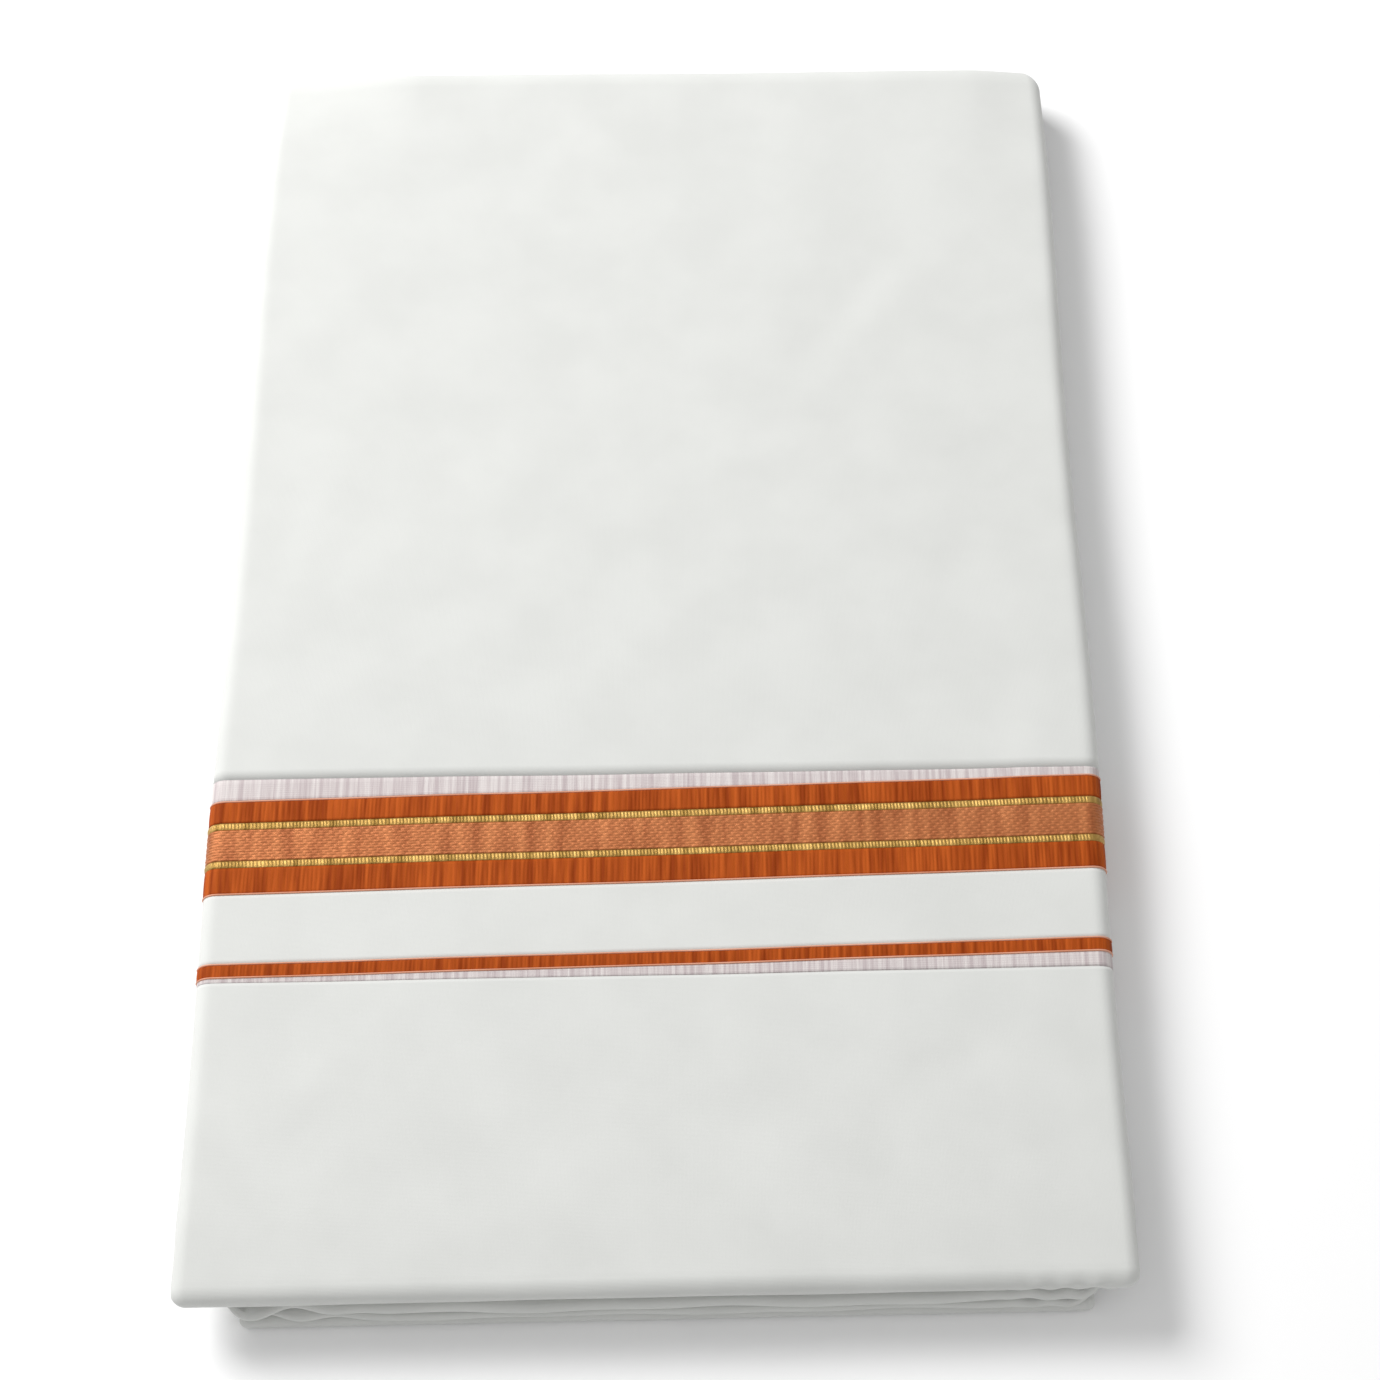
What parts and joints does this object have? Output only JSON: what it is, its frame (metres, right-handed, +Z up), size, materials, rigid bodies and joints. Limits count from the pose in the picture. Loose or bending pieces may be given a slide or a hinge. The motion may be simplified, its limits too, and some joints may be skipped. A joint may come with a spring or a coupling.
{
  "type": "folded dhoti cloth",
  "caption": "White cotton dhoti folded into a flat rectangular pack, with a woven border of orange, gold and copper and a thin orange stripe across its top.",
  "frame": {"origin": "under the middle of the pack, on the surface it rests on", "axes": "+X across the pack, +Y from the open end to the spine fold, +Z up"},
  "size_m": [0.312, 0.512, 0.026],
  "materials": {
    "white_cotton": "plain-woven, lightly pressed white cotton, matt with a soft nap",
    "sheer_weave": "sparse open weave of lavender-grey, with single threads showing",
    "orange_weave": "ribbed burnt-orange cotton band, matt with a faint silky sheen",
    "gold_zari": "beaded line of gold metallic thread, soft metallic glints",
    "copper_zari": "floats of copper metallic thread in brick-like rows, soft metallic glints"
  },
  "bodies": {
    "root": {"near_panel": "white_cotton", "stripe_sheer_low": "sheer_weave", "thin_stripe": "orange_weave", "gap_panel": "white_cotton", "border_orange_low": "orange_weave", "border_gold_low": "gold_zari", "border_copper": "copper_zari", "border_gold_high": "gold_zari", "border_orange_high": "orange_weave", "border_sheer_high": "sheer_weave", "far_panel": "white_cotton", "under_panel": "white_cotton", "folded_layers": "white_cotton"}
  },
  "joints": []
}
